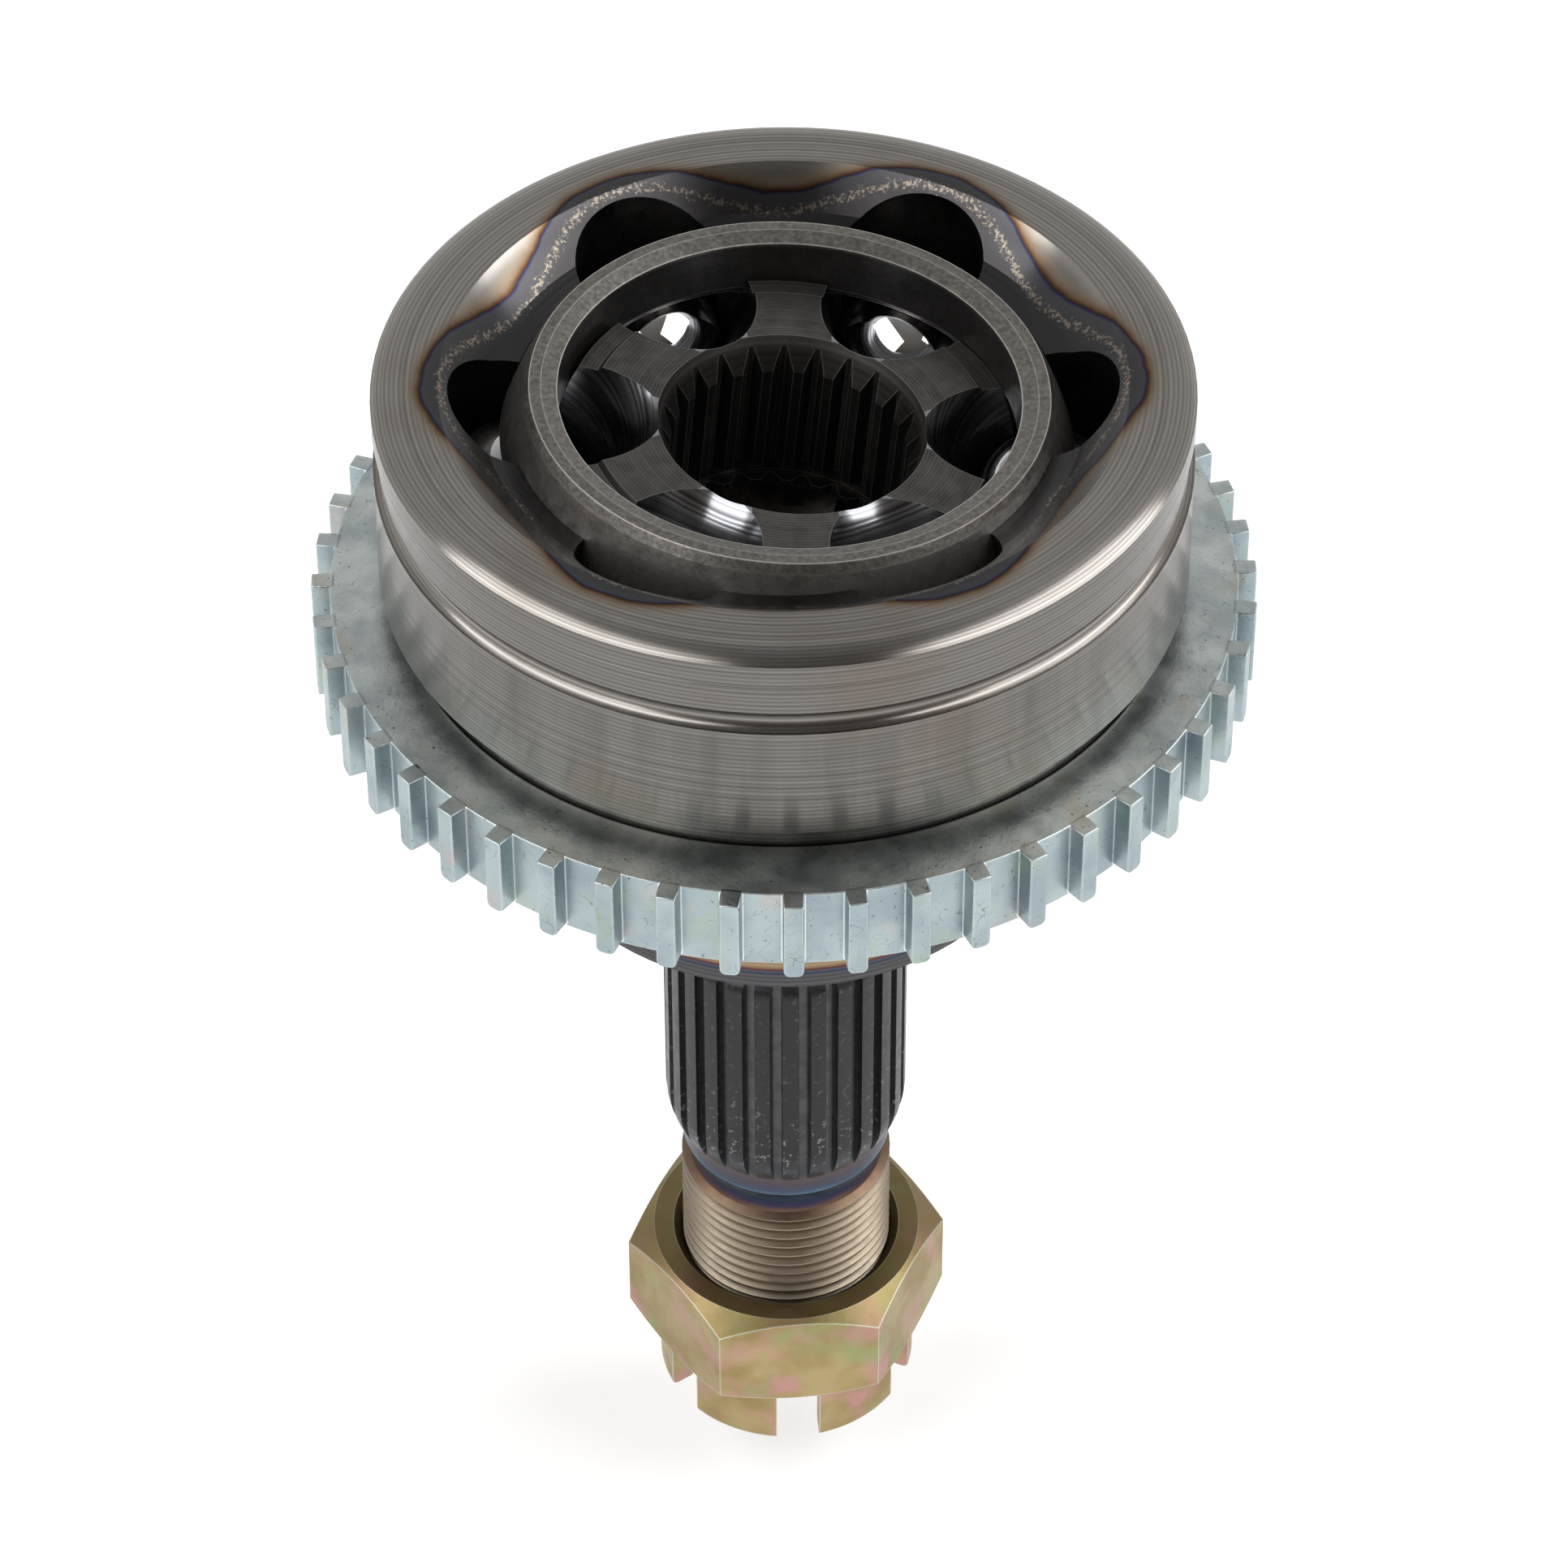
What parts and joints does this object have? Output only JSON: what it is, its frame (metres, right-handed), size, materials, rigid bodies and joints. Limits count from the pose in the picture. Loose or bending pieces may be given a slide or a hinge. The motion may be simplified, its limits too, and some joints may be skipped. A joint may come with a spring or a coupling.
{
  "type": "cv joint",
  "caption": "Fixed ball constant-velocity joint: grooved bell with splined and threaded stub axle, toothed speed ring, ball cage, inner race, balls and slotted hub nut.",
  "frame": {"origin": "joint centre: the point that the drive shaft tilts about, on the bell's axis 16.55 mm below the edge of its mouth", "axes": "+Z along the bell and stub axle axis, out of the mouth towards the drive shaft; the rest pose leans the inner race 5 degrees towards +X"},
  "size_m": [0.1, 0.1, 0.1511],
  "materials": {
    "turned_steel": "turned and induction hardened, with heat tint",
    "zinc_steel": "clear zinc plated",
    "phosphated_steel": "dark phosphate",
    "ground_steel": "dark satin with ground grooves",
    "ball_steel": "polished",
    "yellow_zinc_steel": "yellow passivated zinc"
  },
  "bodies": {
    "outer_race": {"outer_race": "turned_steel", "speed_ring": "zinc_steel"},
    "cage": {"cage": "phosphated_steel"},
    "inner_race": {"inner_race": "ground_steel"},
    "hub_nut": {"hub_nut": "yellow_zinc_steel"},
    "ball_1": {"ball_1": "ball_steel"},
    "ball_2": {"ball_2": "ball_steel"},
    "ball_3": {"ball_3": "ball_steel"},
    "ball_4": {"ball_4": "ball_steel"},
    "ball_5": {"ball_5": "ball_steel"},
    "ball_6": {"ball_6": "ball_steel"}
  },
  "joints": [
    {"name": "shaft_lean", "type": "hinge", "parent": "outer_race", "child": "inner_race", "pos_m": [0, 0, 0], "axis": [0, 1, 0], "range_deg": [-50, 40]},
    {"name": "cage_lean", "type": "hinge", "parent": "outer_race", "child": "cage", "pos_m": [0, 0, 0], "axis": [0, 1, 0], "range_deg": [-25.1, 20.1]},
    {"name": "ball_1_roll", "type": "hinge", "parent": "outer_race", "child": "ball_1", "pos_m": [0, 0, 0.0046], "axis": [-0.0175, 0.9998, 0], "range_deg": [-25.1, 20.1]},
    {"name": "ball_2_roll", "type": "hinge", "parent": "outer_race", "child": "ball_2", "pos_m": [0, 0, 0.0046], "axis": [-0.8746, 0.4848, 0], "range_deg": [-12.7, 10.2]},
    {"name": "ball_3_roll", "type": "hinge", "parent": "outer_race", "child": "ball_3", "pos_m": [0, 0, 0.0046], "axis": [-0.8572, -0.515, 0], "range_deg": [-10.8, 13.5]},
    {"name": "ball_4_roll", "type": "hinge", "parent": "outer_race", "child": "ball_4", "pos_m": [0, 0, 0.0046], "axis": [0.0175, -0.9998, 0], "range_deg": [-20.1, 25.1]},
    {"name": "ball_5_roll", "type": "hinge", "parent": "outer_race", "child": "ball_5", "pos_m": [0, 0, 0.0046], "axis": [0.8746, -0.4848, 0], "range_deg": [-10.2, 12.7]},
    {"name": "ball_6_roll", "type": "hinge", "parent": "outer_race", "child": "ball_6", "pos_m": [0, 0, 0.0046], "axis": [0.8572, 0.515, 0], "range_deg": [-13.5, 10.8]},
    {"name": "nut_screw_travel", "type": "slide", "parent": "outer_race", "child": "hub_nut", "axis": [0, 0, 1], "range_m": [-0.0135, 0.0125]}
  ],
  "couplings": [
    {"joint": "cage_lean", "follows": "shaft_lean", "ratio": 0.5},
    {"joint": "ball_1_roll", "follows": "shaft_lean", "ratio": 0.5},
    {"joint": "ball_2_roll", "follows": "shaft_lean", "ratio": 0.2515},
    {"joint": "ball_3_roll", "follows": "shaft_lean", "ratio": -0.267},
    {"joint": "ball_4_roll", "follows": "shaft_lean", "ratio": -0.5},
    {"joint": "ball_5_roll", "follows": "shaft_lean", "ratio": -0.2515},
    {"joint": "ball_6_roll", "follows": "shaft_lean", "ratio": 0.267}
  ]
}
